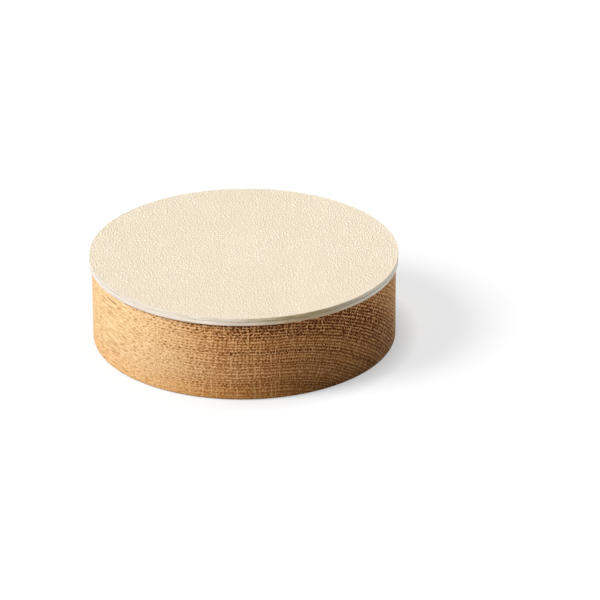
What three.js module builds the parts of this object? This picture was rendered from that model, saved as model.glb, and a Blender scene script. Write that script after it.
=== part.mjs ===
// A round storage box: a bowl turned from one block of oak, with a lift-off lid of two leather
// discs bonded back to back. A thin plywood plug under the lid centres it in the mouth.
// Millimetres, +Z up. The origin is the centre of the base, on the surface the box stands on.
import * as THREE from 'three';

// Oak bowl
const BODY_DIAMETER = 157.5;
const BODY_HEIGHT = 42.25;
const WALL = 9;
const FLOOR = 8;
const FLOOR_COVE = 5;
const RIM_ROUND = 1;
const FOOT_ROUND = 1.2;
const FOOT_RING = 14;

// Felt let into the base, standing a little proud of the wood
const FELT_THICKNESS = 1.25;
const FELT_PROUD = 0.25;
const FELT_CLEARANCE = 0.3;

// Leather pad on the inside floor
const LINER_THICKNESS = 1.5;
const LINER_CLEARANCE = 0.4;
const LINER_EDGE_ROUND = 0.4;

// Lid
const LID_OVERHANG = 1.25;
const TOP_LEATHER = 2;
const LOWER_LEATHER = 2;
const LEATHER_EDGE_ROUND = 0.3;
const BOND_FILM = 0.15;
const BOND_INSET = 0.15;
const PLUG_THICKNESS = 4;
const PLUG_CLEARANCE = 0.6;
const PLUG_LEAD_IN = 1;

// Fineness of the round faces
const TURN_STEPS = 96;
const ARC_STEPS = 2;

// Radii and levels that follow from the sizes above
const bodyRadius = BODY_DIAMETER / 2;
const mouthRadius = bodyRadius - WALL;
const recessRadius = bodyRadius - FOOT_RING;
const lidRadius = bodyRadius + LID_OVERHANG;
const footLevel = FELT_PROUD;
const floorLevel = footLevel + FLOOR;
const rimLevel = footLevel + BODY_HEIGHT;

/** A corner of a turned section: its radius, its height and, if it isn't sharp, its rounding. */
const corner = (radius, height, round = 0) => ({ point: new THREE.Vector2(radius, height), round });

/** Draws the arc that rounds a corner between its two neighbours. */
function roundCorner(path, before, { point, round }, after) {
  const back = before.point.clone().sub(point).normalize();
  const ahead = after.point.clone().sub(point).normalize();
  const halfAngle = Math.acos(back.dot(ahead)) / 2;
  const reach = round / Math.tan(halfAngle);
  const start = point.clone().addScaledVector(back, reach);
  const end = point.clone().addScaledVector(ahead, reach);
  const bisector = back.clone().add(ahead).normalize();
  const centre = point.clone().addScaledVector(bisector, round / Math.sin(halfAngle));
  const startAngle = start.clone().sub(centre).angle();
  const endAngle = end.clone().sub(centre).angle();
  path.lineTo(start.x, start.y);
  path.absarc(centre.x, centre.y, round, startAngle, endAngle, back.cross(ahead) > 0);
}

/** Turns a section, given as corners from the axis round to the axis again, into a solid about Z. */
function turn(corners) {
  const path = new THREE.Path();
  path.moveTo(corners[0].point.x, corners[0].point.y);
  corners.slice(1).forEach((here, i) => {
    if (here.round) roundCorner(path, corners[i], here, corners[i + 2]);
    else path.lineTo(here.point.x, here.point.y);
  });
  return new THREE.LatheGeometry(path.getPoints(ARC_STEPS), TURN_STEPS).rotateX(Math.PI / 2);
}

/** A flat disc from one level up to another, with its lower and upper edges rounded. */
function disc(radius, low, high, lowRound = 0, highRound = 0) {
  return turn([
    corner(0, low),
    corner(radius, low, lowRound),
    corner(radius, high, highRound),
    corner(0, high),
  ]);
}

function piece(name, geometry, color, roughness) {
  const material = new THREE.MeshStandardMaterial({ color, roughness, metalness: 0 });
  const mesh = new THREE.Mesh(geometry, material);
  mesh.name = name;
  return mesh;
}

/** The bowl in one piece: recessed base, straight wall, and a floor coved by a round-nosed cutter. */
function oakBody() {
  const section = [
    corner(0, FELT_THICKNESS),
    corner(recessRadius, FELT_THICKNESS),
    corner(recessRadius, footLevel),
    corner(bodyRadius, footLevel, FOOT_ROUND),
    corner(bodyRadius, rimLevel, RIM_ROUND),
    corner(mouthRadius, rimLevel, RIM_ROUND),
    corner(mouthRadius, floorLevel, FLOOR_COVE),
    corner(0, floorLevel),
  ];
  return piece('oak_body', turn(section), 0xc99a5f, 0.6);
}

/** Felt that fills the base recess, so that the box stands on it and not on the wood. */
function baseFelt() {
  const radius = recessRadius - FELT_CLEARANCE;
  return piece('base_felt', disc(radius, 0, FELT_THICKNESS), 0x5c5a55, 0.95);
}

/** Leather pad glued to the flat of the floor, inside the cove. */
function floorLiner() {
  const radius = mouthRadius - FLOOR_COVE - LINER_CLEARANCE;
  const top = floorLevel + LINER_THICKNESS;
  return piece('floor_liner', disc(radius, floorLevel, top, 0, LINER_EDGE_ROUND), 0xe6d8bb, 0.7);
}

/** The lid, in its own frame: height 0 is the plane where it rests on the rim. */
function lid() {
  const group = new THREE.Group();
  group.position.z = rimLevel;
  const bondLevel = LOWER_LEATHER;
  const topLevel = bondLevel + BOND_FILM;
  const lidTop = topLevel + TOP_LEATHER;
  const plugRadius = mouthRadius - PLUG_CLEARANCE;
  group.add(
    piece('lid_plug_disc', disc(plugRadius, -PLUG_THICKNESS, 0, PLUG_LEAD_IN), 0xd9bd90, 0.65),
    piece('lid_lower_leather', disc(lidRadius, 0, LOWER_LEATHER, LEATHER_EDGE_ROUND), 0xe4d9c2, 0.75),
    piece('lid_bond_film', disc(lidRadius - BOND_INSET, bondLevel, topLevel), 0xb5a582, 0.8),
    piece('lid_top_leather', disc(lidRadius, topLevel, lidTop, 0, LEATHER_EDGE_ROUND), 0xf0e2c8, 0.65),
  );
  return group;
}

const box = new THREE.Group();
box.name = 'storage_box';
box.add(oakBody(), baseFelt(), floorLiner(), lid());

export default box;
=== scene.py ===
import math

import bpy
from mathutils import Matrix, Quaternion, Vector


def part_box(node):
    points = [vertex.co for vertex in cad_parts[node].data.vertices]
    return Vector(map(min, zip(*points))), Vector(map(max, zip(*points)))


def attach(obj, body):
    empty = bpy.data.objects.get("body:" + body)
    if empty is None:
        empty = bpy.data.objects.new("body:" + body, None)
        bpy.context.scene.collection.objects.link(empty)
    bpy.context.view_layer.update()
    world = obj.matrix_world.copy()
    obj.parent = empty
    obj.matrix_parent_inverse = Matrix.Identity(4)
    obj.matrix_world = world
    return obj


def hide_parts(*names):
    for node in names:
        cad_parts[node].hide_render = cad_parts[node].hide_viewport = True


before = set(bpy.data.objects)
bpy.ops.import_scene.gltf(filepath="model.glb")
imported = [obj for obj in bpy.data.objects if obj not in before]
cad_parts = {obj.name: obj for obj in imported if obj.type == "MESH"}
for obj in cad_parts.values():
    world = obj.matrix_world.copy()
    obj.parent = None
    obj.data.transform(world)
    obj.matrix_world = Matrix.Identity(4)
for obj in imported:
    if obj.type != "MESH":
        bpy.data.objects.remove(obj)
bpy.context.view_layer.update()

MM = 0.001
IN_MM = [1 / MM] * 3

# Sizes that the boxes of the nodes don't give, as in the part's source
WALL = 9 * MM
FLOOR_COVE = 5 * MM
FOOT_RING = 14 * MM
RIM_ROUND = 1 * MM
FOOT_ROUND = 1.2 * MM
LEATHER_EDGE_ROUND = 0.3 * MM
LINER_EDGE_ROUND = 0.4 * MM
PLUG_LEAD_IN = 1 * MM

# Roundings that differ from the source: the lid's upper corner is sharper, as in the photograph, and the
# leathers are eased where they meet the bond or the floor
TOP_CORNER_ROUND = 0.12 * MM
LEATHER_SPLIT_ROUND = 0.2 * MM

# Fineness of the meshes; cells are squares along one side of a grained disc's grid
TURN_STEPS = 256
ARC_STEPS = 10
LEATHER_ARC_STEPS = 4
TOP_CELLS = 290
LINER_CELLS = 220
PATH_RADIUS = 1 * MM
MERGE_DISTANCE = 0.005 * MM
SMOOTH_ANGLE = math.radians(30)

# The photograph's camera: a long lens aimed beside the box, so that the box stands left of centre
IMAGE_PX = 600
SENSOR_MM = 36
FOCAL_PX = 4599
ORIGIN_PX = (244.2, 332.34)
CAMERA_DISTANCE = 2.4
CAMERA_ELEVATION = math.radians(25.88)
CAMERA_ROLL = math.radians(-0.2)
CAMERA_REACH = 50

# A soft key light from the left, a weak one from behind on the right, and an even, slightly cool fill
KEY = {"azimuth": -72, "elevation": 42, "spread": 26, "strength": 4.16}
RIM = {"azimuth": 135, "elevation": 20, "spread": 55, "strength": 1.05}
FILL_STRENGTH = 0.12
FILL_COLOUR = "#EAF1FF"
WHITE = (1, 1, 1, 1)

# The floor, in metres. Near the box it throws back less light, least on the right, which is painted shade.
# Seen directly it has a glow of its own and a share of the lamps' light, which shows the shadow, less a
# painted contact shadow at the foot.
FLOOR_SIZE = 8
FLOOR_GAP = 0.1 * MM
FLOOR_SIDE = {"From Min": -0.04, "From Max": 0.07}
FLOOR_NEAR = {"From Min": 0.085, "From Max": 0.22}
FLOOR_BOUNCE = {"To Min": 0.33, "To Max": 0.13}
FLOOR_CONTACT = {"To Min": 0.03, "To Max": 0.24}
CONTACT_REACH = {"From Min": 0.079, "From Max": 0.092}
FLOOR_GLOW = 0.723
FLOOR_SHADOW = 0.27

# Oak: how the plank lay in the block, in millimetres and measured on the wall in the photograph
FIBRE_TURN = math.radians(60)
PITH_ACROSS = -27
PITH_HEIGHT = -65
RING_SPACING = 1.62
RING_WANDER = 1.6
WANDER_LENGTH = 18
RING_UNEVEN = 1.5
UNEVEN_LENGTH = 5
GIRTH_RADIUS = 100
PORE_SPACING = 1.6
PORE_LENGTH = 11
PORE_JITTER = (0.5, 0.25, 0)
JITTER_LENGTH = 1.3
RAY_SPACING = 2.6
RAY_HEIGHT = 7
FIBRE = 0.5
FIBRE_STRETCH = 0.06
# Painted shade at the foot: the distances from the pith over which it sets in
FOOT_SHADE_REACH = {"From Min": 80, "From Max": 66}

# Oak: how heavily a year is pored, by its distance from the pith
YEARS = [
    (64, 0.5), (68, 0.55), (72, 0.7), (74, 0.9), (76, 0.8), (79, 0.7), (82, 0.65), (86, 0.9), (88, 0.8),
    (90, 0.65), (92, 1), (95, 0.85), (98, 0.8), (101, 1), (106, 1.1), (110, 1.15), (116, 1.2), (122, 0.9),
    (130, 0.8),
]

# Oak: where its marks start and stop, as shares of their cells or of their noise, and how strong they are
END_GRAIN = {"From Min": 0.26}
ROW_SHIFT = 9
PORE_TIGHTNESS = (1.2, 1.2, 1)
PORE_VARIETY = 0.12
PORE_GROWTH = 0.2
PORE_RIM = {"From Min": 0.36, "From Max": 0.22}
PORE_THINNING = {"From Max": 0.8, "To Min": 0.24, "To Max": 0}
DASH_STARTS = 60
DASH_ENDS = {"From Min": 0.42, "From Max": 0.52}
EARLY_BAND = {"From Min": 0.25, "From Max": 0.4, "To Max": 0.8}
BAND_SHARE = {"To Min": 0.1}
STREAK = {"From Min": 0.34, "From Max": 0.66}
SPECK = {"From Min": 0.5, "From Max": 0.6}
SPECK_SHARE = {"To Min": 0.45, "To Max": 0.55}
RAY_LINE = {"From Min": 0.14, "From Max": 0.04, "To Max": 0.8}
RAY_FALL = 2
END_REDNESS = 2.5
# How strong the painted shade at the foot is, on long grain and on end grain
FOOT_SHADE_SHARE = {"From Max": 0.5, "To Min": 0.3, "To Max": 0.6}
SOAK_SHARE = {"To Min": 0.65}

# Oak: colours. The last are the tints that the oil gives, from dry wood to a full pore.
OAK_LONG_PALE = "#EBCB9E"
OAK_LONG_DEEP = "#DBB37E"
OAK_END_PALE = "#FDCA8C"
OAK_END_DEEP = "#E4A463"
# The next is the colour of the painted shade at the foot
OAK_FOOT_SHADE = "#F0AC56"
OAK_RAY = "#FFD49C"
OAK_SOAK = [(0, "#FFFFFF"), (0.5, "#C2A07E"), (1, "#5C3312")]

# Leather, in millimetres. The fine grain is drawn out from front to back.
PEBBLE = 2.6
PEBBLE_RELIEF = 0.09
PEBBLE_FADE = 1 * MM
PEBBLE_DOME = {"From Max": 0.55}
WARP = 0.7
WARP_FINENESS = 0.5
FINE_GRAIN = 1.46
FINE_RELIEF = 0.32
GRAIN_STRETCH = 0.65
CLOUD_LENGTH = 30
CLOUD = {"From Min": 0.35, "From Max": 0.65, "To Max": 0.5}
# Each leather's darker tone is painted shade in its creases, and also the tone of its faint clouds
TOP_PALE = "#FEF2E0"
TOP_SHADE_AND_CLOUD = "#E8D8BF"
LOWER_PALE = "#F2E7D5"
LOWER_SHADE_AND_CLOUD = "#E8DAC2"

# Cut edges of leather: tone and strength of the layers, at millimetres from the middle, left to right. The
# tone is painted light and shade as it falls round the lid: olive and darker in the shade right of the
# middle, and palest at the far right, where the light from behind falls.
TOP_EDGE = [(-75, "#D0C8C0", 0.25), (-12, "#F6EAD8", 0.3), (30, "#DAC492", 0.75), (75, "#FFF8E8", 0.15)]
LOWER_EDGE = [(-75, "#D4CCC4", 0.25), (-12, "#F2E6D8", 0.3), (30, "#F4D8AC", 0.6), (75, "#FFFAEC", 0.1)]
LEATHER_FIBRE = "#94845E"
LAYER = 0.6
LAYER_STRETCH = (0.06, 0.06, 1)
LAYER_TONE = {"From Min": 0.38, "From Max": 0.62, "To Max": 0}
EDGE_UPRIGHT = 0.5

# Felt, plywood and glue, in millimetres
FELT_FIBRE = 0.35
FELT_STRETCH = (5, 1, 1)
FELT_TURNS = (0.6, -0.9)
FELT_CURL = (2.5, 2.5, 0.5)
CURL_LENGTH = 1.5
FELT_TONE = {"From Min": 0.42, "From Max": 0.7}
FELT_PALE = "#77736C"
FELT_DEEP = "#48453F"
PLY = 0.8
PLY_CHANGE = {"From Min": 0.42 * PLY, "From Max": 0.58 * PLY, "To Max": 0.8}
PLY_UPRIGHT = 0.9
FIGURE = 5
FIGURE_STRETCH = (0.05, 1, 1)
FIGURE_TONE = {"From Min": 0.35, "From Max": 0.65}
FLECK = 0.5
FLECK_TONE = {"From Min": 0.62, "From Max": 0.72, "To Max": 0.5}
BIRCH_PALE = "#EBD4AC"
BIRCH_DEEP = "#DABB8A"
BIRCH_END = "#B08A58"
GLUE_CLOUD = 2.5
GLUE_TONE = {"From Min": 0.35, "From Max": 0.65}
GLUE_GLOSS = {"To Min": 0.45, "To Max": 0.7}
GLUE_PALE = "#54442A"
GLUE_DEEP = "#362A18"
# The glue's line is painted paler on the left, as painted light where the light from the left falls
GLUE_LIT = "#C8BEAC"
GLUE_LIT_REACH = {"From Min": -5, "From Max": -25}

# Kinds of node. A Map Range goes from 0..1 to 0..1 where nothing else is given.
MATH = "ShaderNodeMath"
MIX = "ShaderNodeMix"
NOISE = "ShaderNodeTexNoise"
RANGE = "ShaderNodeMapRange"
RAMP = "ShaderNodeValToRGB"
BUMP = "ShaderNodeBump"
VECTOR = "ShaderNodeVectorMath"
MAPPING = "ShaderNodeMapping"
VORONOI = "ShaderNodeTexVoronoi"
SPLIT = "ShaderNodeSeparateXYZ"
JOIN = "ShaderNodeCombineXYZ"
SET_PLACE = "GeometryNodeSetPosition"
SET_SMOOTH = "GeometryNodeSetShadeSmooth"
SET_MATERIAL = "GeometryNodeSetMaterial"


def linear(hex_colour):
    """An sRGB hex colour as linear RGBA."""
    parts = [int(hex_colour[i:i + 2], 16) / 255 for i in (1, 3, 5)]
    return [p / 12.92 if p <= 0.04045 else ((p + 0.055) / 1.055) ** 2.4 for p in parts] + [1]


def node(tree, kind, inputs=None, **settings):
    """Adds a node with its settings, and fills or links the inputs that are given; gives the node."""
    made = tree.nodes.new(kind)
    for name, value in settings.items():
        setattr(made, name, value)
    for key, value in (inputs or {}).items():
        named = [s for s in made.inputs if s.enabled and s.name == key]
        socket = named[0] if named else made.inputs[key]
        if isinstance(value, bpy.types.Node):
            value = next(s for s in value.outputs if s.enabled)
        if isinstance(value, bpy.types.NodeSocket):
            tree.links.new(value, socket)
        else:
            socket.default_value = value
    return made


def set_stops(ramp, stops):
    """Gives a colour ramp its stops, each a place on any scale and an RGBA colour, from first to last."""
    first, last = stops[0][0], stops[-1][0]
    for place, _ in stops[1:-1]:
        ramp.elements.new((place - first) / (last - first))
    for element, (_, colour) in zip(ramp.elements, stops):
        element.color = colour


# Materials


def new_material(name):
    """A material with an empty tree, its tree, and its texture coordinates."""
    material = bpy.data.materials.new(name)
    material.use_nodes = True
    tree = material.node_tree
    tree.nodes.clear()
    return material, tree, node(tree, "ShaderNodeTexCoord").outputs


def finish_material(tree, surface):
    """Ends a material's tree in a surface with these properties."""
    shader = node(tree, "ShaderNodeBsdfPrincipled", surface)
    node(tree, "ShaderNodeOutputMaterial", {"Surface": shader})


def oiled_oak():
    """Oak, turned and oiled. End grain shows rows of dark pores, a row to a ring, crossed by pale rays; along
    the grain the pores are dashes. End grain drinks the oil, so it is deeper and redder than long grain.
    Pores are drawn coarser than real ones, which are too fine to show."""
    material, t, place = new_material("oiled_oak")
    grain = node(t, MAPPING, {"Vector": place["Object"], "Rotation": (0, 0, FIBRE_TURN), "Scale": IN_MM})
    drawn_out = node(t, MAPPING, {"Vector": grain, "Scale": (FIBRE_STRETCH, 1, 1)})
    along, across, height = node(t, SPLIT, {0: grain}).outputs

    # Rings lie flat on one side of the pith and curve down on the other
    wander = node(t, NOISE, {"Vector": drawn_out, "Scale": 1 / WANDER_LENGTH, "Detail": 2})
    shifted = node(t, MATH, {0: wander, 1: 0.5}, operation="SUBTRACT")
    wavy = node(t, MATH, {0: shifted, 1: RING_WANDER, 2: height}, operation="MULTIPLY_ADD")
    above = node(t, MATH, {0: wavy, 1: PITH_HEIGHT}, operation="SUBTRACT")
    beside = node(t, MATH, {0: across, 1: PITH_ACROSS}, operation="SUBTRACT")
    curved = node(t, MATH, {0: beside, 1: 0}, operation="MAXIMUM")
    level = node(t, MATH, {0: beside, 1: 0}, operation="MINIMUM")
    from_pith = node(t, JOIN, {"X": curved, "Y": above})
    distance = node(t, VECTOR, {0: from_pith}, operation="LENGTH").outputs["Value"]
    uneven = node(t, NOISE, {"W": distance, "Scale": 1 / UNEVEN_LENGTH, "Detail": 1}, noise_dimensions="1D")
    radius = node(t, MATH, {0: uneven, 1: RING_UNEVEN, 2: distance}, operation="MULTIPLY_ADD")
    angle = node(t, MATH, {0: curved, 1: above}, operation="ARCTAN2")
    girth = node(t, MATH, {0: angle, 1: GIRTH_RADIUS, 2: level}, operation="MULTIPLY_ADD")
    ring_place = node(t, JOIN, {"X": girth, "Y": radius})

    # How squarely the surface cuts the fibres: 1 is end grain, 0 long grain
    facing = node(t, MAPPING, {"Vector": place["Normal"], "Rotation": (0, 0, FIBRE_TURN)})
    end_on = node(t, MATH, {0: node(t, SPLIT, {0: facing}).outputs["X"]}, operation="ABSOLUTE")
    end_grain = node(t, RANGE, {"Value": end_on, **END_GRAIN}, interpolation_type="SMOOTHSTEP")

    # Some years are pored more heavily than others
    year = node(t, RANGE, {"Value": radius, "From Min": YEARS[0][0], "From Max": YEARS[-1][0]})
    years = node(t, RAMP, {"Fac": year})
    set_stops(years.color_ramp, [(at, [heaviness] * 3 + [1]) for at, heaviness in YEARS])

    # Pores: a row to a ring, of many sizes, in tubes along the fibre that come and go
    jitter = node(t, NOISE, {"Vector": ring_place, "Scale": 1 / JITTER_LENGTH, "Detail": 0})
    pore_place = node(t, VECTOR, {
        0: jitter.outputs["Color"], 1: PORE_JITTER, 2: ring_place,
    }, operation="MULTIPLY_ADD")
    pore_grid = node(t, MAPPING, {"Vector": pore_place, "Scale": (1 / PORE_SPACING, 1 / RING_SPACING, 1)})
    column, row, _ = node(t, SPLIT, {0: pore_grid}).outputs
    ring = node(t, MATH, {0: row}, operation="FLOOR")
    shift = node(t, "ShaderNodeTexWhiteNoise", {"W": ring}, noise_dimensions="1D").outputs["Value"]
    shifted_column = node(t, MATH, {0: shift, 1: ROW_SHIFT, 2: column}, operation="MULTIPLY_ADD")
    staggered = node(t, JOIN, {"X": shifted_column, "Y": row})
    pore_cells = node(t, VORONOI, {
        "Vector": staggered, "Scale": 1, "Randomness": 0.5,
    }, voronoi_dimensions="2D")
    pore_offset = node(t, VECTOR, {0: staggered, 1: pore_cells.outputs["Position"]}, operation="SUBTRACT")
    tightened = node(t, VECTOR, {0: pore_offset, 1: PORE_TIGHTNESS}, operation="MULTIPLY")
    from_pore = node(t, VECTOR, {0: tightened}, operation="LENGTH").outputs["Value"]
    pore_tone, dash_tone, _ = node(t, SPLIT, {0: pore_cells.outputs["Color"]}).outputs
    thinner = node(t, RANGE, {"Value": end_grain, **PORE_THINNING})
    thinned = node(t, MATH, {0: from_pore, 1: thinner}, operation="ADD")
    uneven_pores = node(t, MATH, {0: pore_tone, 1: PORE_VARIETY, 2: thinned}, operation="MULTIPLY_ADD")
    apart = node(t, MATH, {0: years, 1: -PORE_GROWTH, 2: uneven_pores}, operation="MULTIPLY_ADD")
    dots = node(t, RANGE, {"Value": apart, **PORE_RIM}, interpolation_type="SMOOTHSTEP")
    dash_start = node(t, MATH, {0: dash_tone, 1: DASH_STARTS}, operation="MULTIPLY")
    dash_place = node(t, MATH, {0: along, 1: 1 / PORE_LENGTH, 2: dash_start}, operation="MULTIPLY_ADD")
    dash = node(t, NOISE, {"W": dash_place, "Scale": 1, "Detail": 0}, noise_dimensions="1D")
    dashes = node(t, RANGE, {"Value": dash, **DASH_ENDS})
    opened = node(t, MIX, {"Factor": end_grain, "A": dashes, "B": 1.0}, data_type="FLOAT")
    tubes = node(t, MATH, {0: dots, 1: opened}, operation="MULTIPLY")

    # Between the large pores a ring's early wood is a dark band, plain on end grain alone
    ring_phase = node(t, MATH, {0: row, 1: 0.5}, operation="PINGPONG")
    band = node(t, RANGE, {"Value": ring_phase, **EARLY_BAND}, interpolation_type="SMOOTHSTEP")
    band_share = node(t, RANGE, {"Value": end_grain, **BAND_SHARE})
    shown_band = node(t, MATH, {0: band, 1: band_share}, operation="MULTIPLY")
    early = node(t, MATH, {0: tubes, 1: shown_band}, operation="MAXIMUM")
    crowded = node(t, MATH, {0: early, 1: years}, operation="MULTIPLY")

    # Fine fibres and small pores: specks on end grain, streaks along the grain
    fibre = node(t, NOISE, {"Vector": drawn_out, "Scale": 1 / FIBRE, "Detail": 2, "Roughness": 0.6})
    streaks = node(t, RANGE, {"Value": fibre, **STREAK})
    speck_share = node(t, RANGE, {"Value": end_grain, **SPECK_SHARE})
    specks = node(t, RANGE, {"Value": fibre, **SPECK, "To Max": speck_share})
    dark = node(t, MATH, {0: crowded, 1: specks}, operation="MAXIMUM")

    # Rays: pale lines across the rings
    ray_place = node(t, MAPPING, {"Vector": ring_place, "Scale": (1 / RAY_SPACING, 1 / RAY_HEIGHT, 1)})
    ray_cells = node(t, VORONOI, {
        "Vector": ray_place, "Scale": 1, "Randomness": 1,
    }, voronoi_dimensions="2D")
    ray_apart = node(t, VECTOR, {0: ray_place, 1: ray_cells.outputs["Position"]}, operation="SUBTRACT")
    ray_distance = node(t, MATH, {0: node(t, SPLIT, {0: ray_apart}).outputs["X"]}, operation="ABSOLUTE")
    ray_line = node(t, RANGE, {"Value": ray_distance, **RAY_LINE})
    ray_tone = node(t, SPLIT, {0: ray_cells.outputs["Color"]}).outputs["X"]
    ray_strength = node(t, MATH, {0: ray_tone, 1: RAY_FALL}, operation="POWER")
    ray_shown = node(t, MATH, {0: ray_line, 1: ray_strength}, operation="MULTIPLY")
    rays = node(t, MATH, {0: ray_shown, 1: end_grain}, operation="MULTIPLY")
    clear_of_rays = node(t, MATH, {0: 1, 1: rays}, operation="SUBTRACT")
    pores = node(t, MATH, {0: dark, 1: clear_of_rays}, operation="MULTIPLY")

    # The wood's colour: redder on end grain and pale in the rays, with painted shade that makes it deeper and
    # more orange towards the foot, most on end grain
    long_colour = node(t, MIX, {
        "Factor": streaks, "A": linear(OAK_LONG_PALE), "B": linear(OAK_LONG_DEEP),
    }, data_type="RGBA")
    end_colour = node(t, MIX, {
        "Factor": streaks, "A": linear(OAK_END_PALE), "B": linear(OAK_END_DEEP),
    }, data_type="RGBA")
    redder = node(t, MATH, {0: end_on, 1: END_REDNESS}, operation="POWER")
    wood = node(t, MIX, {"Factor": redder, "A": long_colour, "B": end_colour}, data_type="RGBA")
    # Painted shade: the wood deepens towards the foot, most on end grain
    foot_shade_share = node(t, RANGE, {"Value": end_grain, **FOOT_SHADE_SHARE})
    foot_shade_mix = node(t, RANGE, {"Value": radius, **FOOT_SHADE_REACH, "To Max": foot_shade_share})
    foot_shaded_wood = node(t, MIX, {"Factor": foot_shade_mix, "A": wood, "B": linear(OAK_FOOT_SHADE)}, data_type="RGBA")
    rayed = node(t, MIX, {"Factor": rays, "A": foot_shaded_wood, "B": linear(OAK_RAY)}, data_type="RGBA")

    # Oil darkens and reddens the pores and the early wood, less so along the grain
    soak_share = node(t, RANGE, {"Value": end_grain, **SOAK_SHARE})
    soak = node(t, MATH, {0: pores, 1: soak_share}, operation="MULTIPLY")
    soaked = node(t, RAMP, {"Fac": soak})
    set_stops(soaked.color_ramp, [(depth, linear(tint)) for depth, tint in OAK_SOAK])
    colour = node(t, MIX, {
        "Factor": 1, "A": rayed, "B": soaked,
    }, data_type="RGBA", blend_type="MULTIPLY")
    bump = node(t, BUMP, {"Height": pores, "Strength": 0.4, "Distance": 0.1 * MM}, invert=True)
    finish_material(t, {"Base Color": colour, "Normal": bump, "Roughness": 0.6, "Specular IOR Level": 0.03})
    return material


def pebble_domes(tree, spot, size):
    """Leather grain at a spot in millimetres, for a material or a mesh: 1 on a pebble, 0 in a crease."""
    warp = node(tree, NOISE, {"Vector": spot, "Scale": WARP_FINENESS / size, "Detail": 2})
    warped = node(tree, VECTOR, {
        0: warp.outputs["Color"], 1: [WARP * size] * 3, 2: spot,
    }, operation="MULTIPLY_ADD")
    cells = node(tree, VORONOI, {
        "Vector": warped, "Scale": 1 / size, "Randomness": 1,
    }, feature="DISTANCE_TO_EDGE")
    return node(tree, RANGE, {"Value": cells, **PEBBLE_DOME}, interpolation_type="SMOOTHSTEP")


def pebbled_leather(name, pale, crease):
    """Cow leather with a fine pebble grain and a matte finish: soft domes, with a finer grain on them,
    between creases darkened with painted shade, and a faint cloudiness over the hide in the same darker tone."""
    material, t, place = new_material(name)
    spot = node(t, MAPPING, {"Vector": place["Object"], "Scale": IN_MM})
    drawn_out = node(t, MAPPING, {"Vector": spot, "Scale": (1, GRAIN_STRETCH, 1)})
    fine = pebble_domes(t, drawn_out, FINE_GRAIN)
    broad = node(t, NOISE, {"Vector": spot, "Scale": 1 / CLOUD_LENGTH, "Detail": 2})
    cloudy = node(t, RANGE, {"Value": broad, **CLOUD})
    # Painted shade: the creases between the fine domes are darker
    grained = node(t, MIX, {"Factor": fine, "A": linear(crease), "B": linear(pale)}, data_type="RGBA")
    colour = node(t, MIX, {"Factor": cloudy, "A": grained, "B": linear(crease)}, data_type="RGBA")
    bump = node(t, BUMP, {"Height": fine, "Distance": FINE_RELIEF * MM})
    finish_material(t, {"Base Color": colour, "Normal": bump, "Roughness": 0.75, "Specular IOR Level": 0.12})
    return material


def cut_edge(name, tones):
    """The cut edge of a leather disc, smoothed and nearly matte: fibres in thin layers. Its tone changes
    round the disc as painted light and shade, and how strongly the layers show changes with it; the ramp
    keeps that strength in its alpha."""
    material, t, place = new_material(name)
    spot = node(t, MAPPING, {"Vector": place["Object"], "Scale": IN_MM})
    across = node(t, SPLIT, {0: spot}).outputs["X"]
    sideways = node(t, RANGE, {"Value": across, "From Min": tones[0][0], "From Max": tones[-1][0]})
    # The edge's tone from left to right is painted light and shade
    painted_edge_tone = node(t, RAMP, {"Fac": sideways})
    painted_edge_tone.color_ramp.interpolation = "EASE"
    set_stops(painted_edge_tone.color_ramp, [(at, linear(tone)[:3] + [strength]) for at, tone, strength in tones])
    layer_place = node(t, MAPPING, {"Vector": spot, "Scale": LAYER_STRETCH})
    layers = node(t, NOISE, {"Vector": layer_place, "Scale": 1 / LAYER, "Detail": 3, "Roughness": 0.6})
    layered = node(t, RANGE, {"Value": layers, **LAYER_TONE, "To Min": painted_edge_tone.outputs["Alpha"]})
    colour = node(t, MIX, {
        "Factor": layered, "A": painted_edge_tone.outputs["Color"], "B": linear(LEATHER_FIBRE),
    }, data_type="RGBA")
    bump = node(t, BUMP, {"Height": layers, "Strength": 0.3, "Distance": 0.1 * MM})
    finish_material(t, {"Base Color": colour, "Normal": bump, "Roughness": 0.55, "Specular IOR Level": 0.1})
    return material


def wool_felt():
    """Pressed wool felt: short matted fibres, darker and lighter, that lie all ways, with a soft sheen. The
    fibres are drawn coarser than real wool, which is far too fine to show."""
    material, t, place = new_material("grey_wool_felt")
    spot = node(t, MAPPING, {"Vector": place["Object"], "Scale": IN_MM})
    curl = node(t, NOISE, {"Vector": spot, "Scale": 1 / CURL_LENGTH, "Detail": 2})
    curled = node(t, VECTOR, {0: curl.outputs["Color"], 1: FELT_CURL, 2: spot}, operation="MULTIPLY_ADD")
    lying = []
    for turn in FELT_TURNS:
        turned = node(t, MAPPING, {
            "Vector": curled, "Rotation": (0, 0, turn), "Scale": FELT_STRETCH,
        }, vector_type="TEXTURE")
        lying.append(node(t, NOISE, {"Vector": turned, "Scale": 1 / FELT_FIBRE, "Detail": 2}))
    fibres = node(t, MATH, {0: lying[0], 1: lying[1]}, operation="MAXIMUM")
    shade = node(t, RANGE, {"Value": fibres, **FELT_TONE})
    colour = node(t, MIX, {
        "Factor": shade, "A": linear(FELT_DEEP), "B": linear(FELT_PALE),
    }, data_type="RGBA")
    bump = node(t, BUMP, {"Height": shade, "Strength": 0.7, "Distance": 0.15 * MM})
    finish_material(t, {
        "Base Color": colour, "Normal": bump, "Roughness": 0.95, "Specular IOR Level": 0.1,
        "Sheen Weight": 0.4,
    })
    return material


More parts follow.
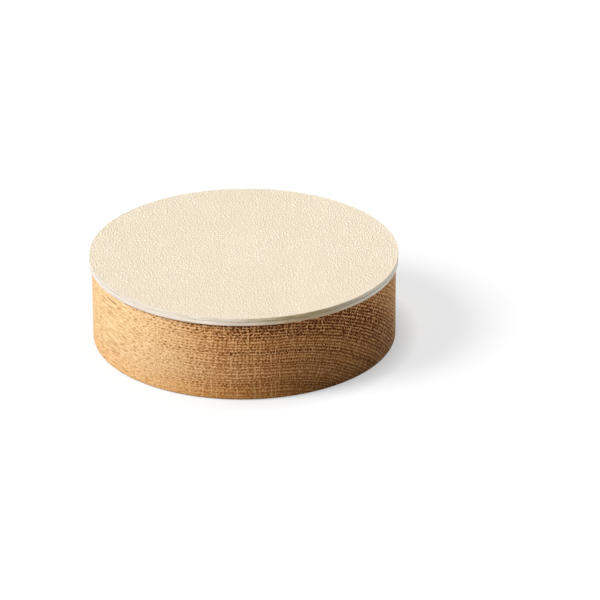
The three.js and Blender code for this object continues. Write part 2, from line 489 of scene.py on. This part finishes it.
def birch_plywood():
    """Sanded birch plywood: pale faces with faint long figure and fine dark flecks; on the edge the plies
    show, long grain between darker end grain."""
    material, t, place = new_material("birch_plywood")
    spot = node(t, MAPPING, {"Vector": place["Object"], "Scale": IN_MM})
    long_place = node(t, MAPPING, {"Vector": spot, "Scale": FIGURE_STRETCH})
    figure = node(t, NOISE, {
        "Vector": long_place, "Scale": 1 / FIGURE, "Detail": 4, "Roughness": 0.6, "Distortion": 0.4,
    })
    figured = node(t, RANGE, {"Value": figure, **FIGURE_TONE})
    face = node(t, MIX, {
        "Factor": figured, "A": linear(BIRCH_PALE), "B": linear(BIRCH_DEEP),
    }, data_type="RGBA")
    flecks = node(t, NOISE, {"Vector": long_place, "Scale": 1 / FLECK, "Detail": 1})
    flecked = node(t, RANGE, {"Value": flecks, **FLECK_TONE})
    height = node(t, SPLIT, {0: spot}).outputs["Z"]
    ply = node(t, MATH, {0: height, 1: PLY}, operation="PINGPONG")
    crossing = node(t, RANGE, {"Value": ply, **PLY_CHANGE})
    rise = node(t, SPLIT, {0: place["Normal"]}).outputs["Z"]
    upright = node(t, MATH, {0: rise}, operation="ABSOLUTE")
    sideways = node(t, MATH, {0: upright, 1: PLY_UPRIGHT}, operation="LESS_THAN")
    plies = node(t, MATH, {0: crossing, 1: sideways}, operation="MULTIPLY")
    layered = node(t, MIX, {"Factor": plies, "A": face, "B": linear(BIRCH_END)}, data_type="RGBA")
    colour = node(t, MIX, {"Factor": flecked, "A": layered, "B": linear(BIRCH_END)}, data_type="RGBA")
    bump = node(t, BUMP, {"Height": flecks, "Strength": 0.3, "Distance": 0.05 * MM})
    finish_material(t, {"Base Color": colour, "Normal": bump, "Roughness": 0.6})
    return material


def glue_film():
    """Contact glue pressed thin between the leathers: dark amber, cloudy and dull. On the left it is paler,
    which is painted light: the light from the left falls on its line there."""
    material, t, place = new_material("amber_glue_film")
    spot = node(t, MAPPING, {"Vector": place["Object"], "Scale": IN_MM})
    clouds = node(t, NOISE, {"Vector": spot, "Scale": 1 / GLUE_CLOUD, "Detail": 4, "Roughness": 0.6})
    cloudy = node(t, RANGE, {"Value": clouds, **GLUE_TONE})
    amber = node(t, MIX, {
        "Factor": cloudy, "A": linear(GLUE_DEEP), "B": linear(GLUE_PALE),
    }, data_type="RGBA")
    across = node(t, SPLIT, {0: spot}).outputs["X"]
    # Painted light: the glue turns paler towards the left, where the light from the left falls on its line
    left_light = node(t, RANGE, {"Value": across, **GLUE_LIT_REACH})
    colour = node(t, MIX, {"Factor": left_light, "A": amber, "B": linear(GLUE_LIT)}, data_type="RGBA")
    rough = node(t, RANGE, {"Value": cloudy, **GLUE_GLOSS})
    bump = node(t, BUMP, {"Height": clouds, "Strength": 0.3, "Distance": 0.1 * MM})
    finish_material(t, {"Base Color": colour, "Normal": bump, "Roughness": rough, "Specular IOR Level": 0.02})
    return material


# Shapes


def new_tree(name, inputs):
    """A tree of Geometry Nodes with named inputs, each a socket type; gives it and its inputs."""
    tree = bpy.data.node_groups.new(name, "GeometryNodeTree")
    tree.is_modifier = True
    for label, kind in inputs.items():
        tree.interface.new_socket(label, in_out="INPUT", socket_type=kind)
    tree.interface.new_socket("Geometry", in_out="OUTPUT", socket_type="NodeSocketGeometry")
    return tree, node(tree, "NodeGroupInput").outputs


def finish_tree(tree, geometry, material, edge_material=None):
    """Closes the mesh, rounds its shading where its faces meet softly, and gives it its material, and its
    sides a second one if there is one."""
    merged = node(tree, "GeometryNodeMergeByDistance", {"Geometry": geometry, "Distance": MERGE_DISTANCE})
    smooth = node(tree, SET_SMOOTH, {"Geometry": merged, "Shade Smooth": True})
    fold = node(tree, "GeometryNodeInputMeshEdgeAngle").outputs["Unsigned Angle"]
    soft = node(tree, MATH, {0: fold, 1: SMOOTH_ANGLE}, operation="LESS_THAN")
    creased = node(tree, SET_SMOOTH, {"Geometry": smooth, "Shade Smooth": soft}, domain="EDGE")
    whole = node(tree, "GeometryNodeRealizeInstances", {"Geometry": creased})
    dressed = node(tree, SET_MATERIAL, {"Geometry": whole, "Material": material})
    if edge_material:
        rise = node(tree, SPLIT, {0: node(tree, "GeometryNodeInputNormal")}).outputs["Z"]
        upright = node(tree, MATH, {0: rise}, operation="ABSOLUTE")
        side = node(tree, MATH, {0: upright, 1: EDGE_UPRIGHT}, operation="LESS_THAN")
        dressed = node(tree, SET_MATERIAL, {
            "Geometry": dressed, "Selection": side, "Material": edge_material,
        })
    node(tree, "NodeGroupOutput", {"Geometry": dressed})


def turned_tree(name, corners, material, edge_material=None):
    """A tree that turns a section about Z. A corner names its radius, its height and its rounding among the
    tree's inputs; no name means 0, and the first and last corners are on the axis."""
    sizes = sorted({size for corner in corners for size in corner if size})
    tree, given = new_tree(name, {size: "NodeSocketFloat" for size in sizes})
    index = node(tree, "GeometryNodeInputIndex")
    places = node(tree, "GeometryNodeIndexSwitch", {"Index": index}, data_type="VECTOR")
    rounds = node(tree, "GeometryNodeIndexSwitch", {"Index": index}, data_type="FLOAT")
    for switch in (places, rounds):
        while len(switch.index_switch_items) < len(corners):
            switch.index_switch_items.new()
    for i, (radius, height, rounding) in enumerate(corners):
        place = node(tree, JOIN)
        if radius:
            tree.links.new(given[radius], place.inputs["X"])
        if height:
            tree.links.new(given[height], place.inputs["Y"])
        tree.links.new(place.outputs[0], places.inputs[i + 1])
        if rounding:
            tree.links.new(given[rounding], rounds.inputs[i + 1])
    line = node(tree, "GeometryNodeMeshLine", {"Count": len(corners)})
    curve = node(tree, "GeometryNodeMeshToCurve", {"Mesh": line})
    placed = node(tree, SET_PLACE, {"Geometry": curve, "Position": places})
    rounded = node(tree, "GeometryNodeFilletCurve", {
        "Curve": placed, "Radius": rounds, "Count": ARC_STEPS,
    }, mode="POLY")
    section = node(tree, "GeometryNodeTransform", {"Geometry": rounded, "Translation": (-PATH_RADIUS, 0, 0)})
    path = node(tree, "GeometryNodeCurvePrimitiveCircle", {"Resolution": TURN_STEPS, "Radius": PATH_RADIUS})
    swept = node(tree, "GeometryNodeCurveToMesh", {"Curve": path, "Profile Curve": section})
    upright = node(tree, "GeometryNodeTransform", {"Geometry": swept, "Rotation": (math.pi, 0, 0)})
    finish_tree(tree, upright, material, edge_material)
    return tree


def grained_tree(name, material, edge_material):
    """A tree for a leather disc whose upper face has the pebble grain in its mesh: a square grid drawn out to
    a circle, rounded over at its edge, and closed below."""
    floats = ("Radius", "Low", "High", "Round", "Low round", "Relief")
    tree, given = new_tree(name, {**{f: "NodeSocketFloat" for f in floats}, "Cells": "NodeSocketInt"})
    lines = node(tree, MATH, {0: given["Cells"], 1: 1}, operation="ADD")
    grid = node(tree, "GeometryNodeMeshGrid", {
        "Size X": 2, "Size Y": 2, "Vertices X": lines, "Vertices Y": lines,
    })
    flat_radius = node(tree, MATH, {0: given["Radius"], 1: given["Round"]}, operation="SUBTRACT")
    u, v, _ = node(tree, SPLIT, {0: node(tree, "GeometryNodeInputPosition")}).outputs

    def drawn_in(here, other):
        """One coordinate on the disc: here times the root of 1 - other squared / 2, times the radius."""
        squared = node(tree, MATH, {0: other, 1: other}, operation="MULTIPLY")
        rest = node(tree, MATH, {0: squared, 1: -0.5, 2: 1}, operation="MULTIPLY_ADD")
        root = node(tree, MATH, {0: rest}, operation="SQRT")
        share = node(tree, MATH, {0: root, 1: here}, operation="MULTIPLY")
        return node(tree, MATH, {0: share, 1: flat_radius}, operation="MULTIPLY")

    spread = node(tree, JOIN, {"X": drawn_in(u, v), "Y": drawn_in(v, u), "Z": given["High"]})
    disc = node(tree, SET_PLACE, {"Geometry": grid, "Position": spread})

    # Creases are sunk, and fade out at the edge
    place = node(tree, "GeometryNodeInputPosition")
    spot = node(tree, VECTOR, {0: place, 1: IN_MM}, operation="MULTIPLY")
    crease = node(tree, MATH, {0: 1, 1: pebble_domes(tree, spot, PEBBLE)}, operation="SUBTRACT")
    x, y, _ = node(tree, SPLIT, {0: place}).outputs
    flat_place = node(tree, JOIN, {"X": x, "Y": y})
    from_axis = node(tree, VECTOR, {0: flat_place}, operation="LENGTH").outputs["Value"]
    from_edge = node(tree, MATH, {0: flat_radius, 1: from_axis}, operation="SUBTRACT")
    fade = node(tree, RANGE, {"Value": from_edge, "From Max": PEBBLE_FADE})
    depth = node(tree, MATH, {0: crease, 1: given["Relief"]}, operation="MULTIPLY")
    faded = node(tree, MATH, {0: depth, 1: fade}, operation="MULTIPLY")
    sunk = node(tree, JOIN, {"Z": node(tree, MATH, {0: faded, 1: -1}, operation="MULTIPLY")})
    mesh = node(tree, SET_PLACE, {"Geometry": disc, "Offset": sunk})

    # The rim, whose edges have one face, is drawn on ring by ring: over, down, under and to the middle
    outward = node(tree, VECTOR, {0: flat_place}, operation="NORMALIZE")
    faces_beside = node(tree, "GeometryNodeInputMeshEdgeNeighbors")
    rim = node(tree, MATH, {0: faces_beside, 1: 1.5}, operation="LESS_THAN")
    turns = [(i + 1) / LEATHER_ARC_STEPS * math.pi / 2 for i in range(LEATHER_ARC_STEPS)]
    over = [(math.sin(a) - 1, math.cos(a) - 1, "Round", "High") for a in turns]
    under = [(math.cos(a) - 1, 1 - math.sin(a), "Low round", "Low") for a in [0] + turns]
    for inset, drop, rounding, level in over + under + [(None, 0, "Low round", "Low")]:
        grown = node(tree, "GeometryNodeExtrudeMesh", {
            "Mesh": mesh, "Selection": rim, "Offset Scale": 0,
        }, mode="EDGES")
        rim = grown.outputs["Top"]
        height = node(tree, MATH, {0: given[rounding], 1: drop, 2: given[level]}, operation="MULTIPLY_ADD")
        ring = node(tree, JOIN, {"Z": height})
        if inset is not None:
            reach = node(tree, MATH, {
                0: given[rounding], 1: inset, 2: given["Radius"],
            }, operation="MULTIPLY_ADD")
            out = node(tree, VECTOR, {0: outward, "Scale": reach}, operation="SCALE")
            ring = node(tree, VECTOR, {0: out, 1: ring}, operation="ADD")
        mesh = node(tree, SET_PLACE, {
            "Geometry": grown.outputs["Mesh"], "Selection": rim, "Position": ring,
        })
    finish_tree(tree, mesh, material, edge_material)
    return tree


def make_piece(name, tree, sizes):
    """The plain mesh that a tree gives with these sizes, as an object."""
    obj = bpy.data.objects.new(name, bpy.data.meshes.new(name))
    bpy.context.collection.objects.link(obj)
    modifier = obj.modifiers.new("shape", "NODES")
    modifier.node_group = tree
    for socket in tree.interface.items_tree:
        if socket.in_out == "INPUT":
            modifier[socket.identifier] = sizes[socket.name]
    bpy.context.view_layer.update()
    evaluated = obj.evaluated_get(bpy.context.evaluated_depsgraph_get())
    mesh = bpy.data.meshes.new_from_object(evaluated)
    obj.modifiers.clear()
    obj.data = mesh
    return obj


def dress(obj, body, node_name):
    """Puts a piece on its body, in place of its node, which it hides."""
    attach(obj, body)
    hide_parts(node_name)


def make_bowl(material):
    """The oak bowl: a recess for the felt, the foot, the wall, the rim, and the coved inside."""
    low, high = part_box("oak_body")
    corners = [
        (None, "Recess level", None),
        ("Recess radius", "Recess level", None),
        ("Recess radius", "Foot level", None),
        ("Body radius", "Foot level", "Foot round"),
        ("Body radius", "Rim level", "Rim round"),
        ("Mouth radius", "Rim level", "Rim round"),
        ("Mouth radius", "Floor level", "Cove"),
        (None, "Floor level", None),
    ]
    sizes = {
        "Recess level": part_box("base_felt")[1].z,
        "Recess radius": high.x - FOOT_RING,
        "Foot level": low.z,
        "Foot round": FOOT_ROUND,
        "Body radius": high.x,
        "Rim level": high.z,
        "Rim round": RIM_ROUND,
        "Mouth radius": high.x - WALL,
        "Floor level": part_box("floor_liner")[0].z,
        "Cove": FLOOR_COVE,
    }
    bowl = make_piece("oak_bowl", turned_tree("turned_bowl", corners, material), sizes)
    dress(bowl, "box", "oak_body")


def make_disc(name, node_name, body, material, low_round=0, high_round=0, edge_material=None):
    """A plain disc as large as its node."""
    low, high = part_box(node_name)
    corners = [
        (None, "Low", None),
        ("Radius", "Low", "Low round"),
        ("Radius", "High", "High round"),
        (None, "High", None),
    ]
    sizes = {
        "Radius": high.x, "Low": low.z, "High": high.z, "Low round": low_round, "High round": high_round,
    }
    disc = make_piece(name, turned_tree(name + "_shape", corners, material, edge_material), sizes)
    dress(disc, body, node_name)
    return disc


def make_grained_disc(name, node_name, body, material, edge_material, edge_round, cells):
    """A leather disc as large as its node, with pebble grain on its upper face."""
    low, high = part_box(node_name)
    sizes = {
        "Radius": high.x, "Low": low.z, "High": high.z, "Round": edge_round, "Low round": LEATHER_SPLIT_ROUND,
        "Relief": PEBBLE_RELIEF * MM, "Cells": cells,
    }
    disc = make_piece(name, grained_tree(name + "_shape", material, edge_material), sizes)
    dress(disc, body, node_name)
    return disc


top_leather = pebbled_leather("pebbled_cream_leather", TOP_PALE, TOP_SHADE_AND_CLOUD)
lower_leather = pebbled_leather("pebbled_pale_leather", LOWER_PALE, LOWER_SHADE_AND_CLOUD)
top_edge = cut_edge("burnished_cream_edge", TOP_EDGE)
lower_edge = cut_edge("burnished_pale_edge", LOWER_EDGE)

make_bowl(oiled_oak())
felt_pad = make_disc("felt_pad", "base_felt", "box", wool_felt())
leather_liner = make_grained_disc(
    "leather_liner", "floor_liner", "box", lower_leather, lower_edge, LINER_EDGE_ROUND,
    LINER_CELLS,
)
make_disc("plywood_plug", "lid_plug_disc", "lid", birch_plywood(), PLUG_LEAD_IN)
make_disc(
    "lower_leather", "lid_lower_leather", "lid", lower_leather, LEATHER_EDGE_ROUND,
    LEATHER_SPLIT_ROUND, lower_edge,
)
make_disc("glue_line", "lid_bond_film", "lid", glue_film())
make_grained_disc(
    "top_leather", "lid_top_leather", "lid", top_leather, top_edge, TOP_CORNER_ROUND,
    TOP_CELLS,
)


# Stage


def seen_directly(t):
    """1 on the rays that show the backdrop to the camera, also by way of gloss and glass."""
    ray = node(t, "ShaderNodeLightPath").outputs
    direct = node(t, MATH, {0: ray["Is Camera Ray"], 1: ray["Is Glossy Ray"]}, operation="MAXIMUM")
    return node(t, MATH, {0: direct, 1: ray["Is Transmission Ray"]}, operation="MAXIMUM")


def make_floor():
    """A white floor: seen directly it is white, less the box's shadow and a painted contact shadow at the
    foot. Other rays find it greyer near the box, most on the right, which is painted shade, so that it throws
    less light up at the wall."""
    mesh = bpy.data.meshes.new("floor")
    half = FLOOR_SIZE / 2
    corners = [(-half, -half, 0), (half, -half, 0), (half, half, 0), (-half, half, 0)]
    mesh.from_pydata(corners, [], [(0, 1, 2, 3)])
    floor = bpy.data.objects.new("floor", mesh)
    floor.location.z = -FLOOR_GAP
    bpy.context.collection.objects.link(floor)
    material, t, place = new_material("white_floor")
    from_axis = node(t, VECTOR, {0: place["Object"]}, operation="LENGTH").outputs["Value"]
    sideways = node(t, SPLIT, {0: place["Object"]}).outputs["X"]
    # Painted shade: the floor is greyer near the box, most on the right, for the light it throws back
    near_bounce = node(t, RANGE, {"Value": sideways, **FLOOR_SIDE, **FLOOR_BOUNCE})
    grey = node(t, RANGE, {"Value": from_axis, **FLOOR_NEAR, "To Min": near_bounce})
    bounce = node(t, "ShaderNodeBsdfDiffuse", {"Color": grey})
    # Painted shade: a contact shadow at the foot, deepest on the right, taken off the glow
    at_foot = node(t, RANGE, {"Value": sideways, **FLOOR_SIDE, **FLOOR_CONTACT})
    contact = node(t, RANGE, {"Value": from_axis, **CONTACT_REACH, "To Min": at_foot, "To Max": 0})
    glow_left = node(t, MATH, {0: FLOOR_GLOW, 1: contact}, operation="SUBTRACT")
    catcher = node(t, "ShaderNodeBsdfDiffuse", {"Color": [FLOOR_SHADOW] * 3 + [1]})
    glow = node(t, "ShaderNodeEmission", {"Color": WHITE, "Strength": glow_left})
    shown = node(t, "ShaderNodeAddShader", {0: catcher, 1: glow})
    both = node(t, "ShaderNodeMixShader", {0: seen_directly(t), 1: bounce, 2: shown})
    node(t, "ShaderNodeOutputMaterial", {"Surface": both})
    mesh.materials.append(material)


def make_world():
    """A white backdrop that lights the box with the fill alone."""
    world = bpy.data.worlds.new("studio")
    bpy.context.scene.world = world
    world.use_nodes = True
    t = world.node_tree
    t.nodes.clear()
    fill = node(t, "ShaderNodeBackground", {"Color": linear(FILL_COLOUR), "Strength": FILL_STRENGTH})
    backdrop = node(t, "ShaderNodeBackground", {"Color": WHITE, "Strength": 1})
    both = node(t, "ShaderNodeMixShader", {0: seen_directly(t), 1: fill, 2: backdrop})
    node(t, "ShaderNodeOutputWorld", {"Surface": both})


def make_lamp(name, azimuth, elevation, spread, strength):
    """A far lamp. Azimuth 0 is the viewer's side and 90 the right; all angles are in degrees."""
    lamp = bpy.data.lights.new(name, "SUN")
    lamp.energy = strength
    lamp.angle = math.radians(spread)
    obj = bpy.data.objects.new(name, lamp)
    bpy.context.collection.objects.link(obj)
    turn, rise = math.radians(azimuth), math.radians(elevation)
    towards = Vector((math.sin(turn) * math.cos(rise), -math.cos(turn) * math.cos(rise), math.sin(rise)))
    obj.rotation_euler = towards.to_track_quat("Z", "Y").to_euler()


def make_camera():
    """The camera, turned until the box's origin falls on its pixel in the photograph."""
    data = bpy.data.cameras.new("camera")
    data.sensor_width = SENSOR_MM
    data.lens = FOCAL_PX / IMAGE_PX * SENSOR_MM
    data.clip_end = CAMERA_REACH
    camera = bpy.data.objects.new("camera", data)
    bpy.context.collection.objects.link(camera)
    flat, rise = math.cos(CAMERA_ELEVATION), math.sin(CAMERA_ELEVATION)
    camera.location = Vector((0, -flat, rise)) * CAMERA_DISTANCE
    aside = (IMAGE_PX / 2 - ORIGIN_PX[0]) / FOCAL_PX
    upward = (ORIGIN_PX[1] - IMAGE_PX / 2) / FOCAL_PX
    look = Vector((0, flat, -rise)) + Vector((1, 0, 0)) * aside + Vector((0, rise, flat)) * upward
    turn = look.to_track_quat("-Z", "Y") @ Quaternion((0, 0, 1), CAMERA_ROLL)
    camera.rotation_euler = turn.to_euler()
    bpy.context.scene.camera = camera


make_floor()
make_world()
make_lamp("key", **KEY)
make_lamp("rim", **RIM)
make_camera()
bpy.context.scene.view_settings.view_transform = "Standard"
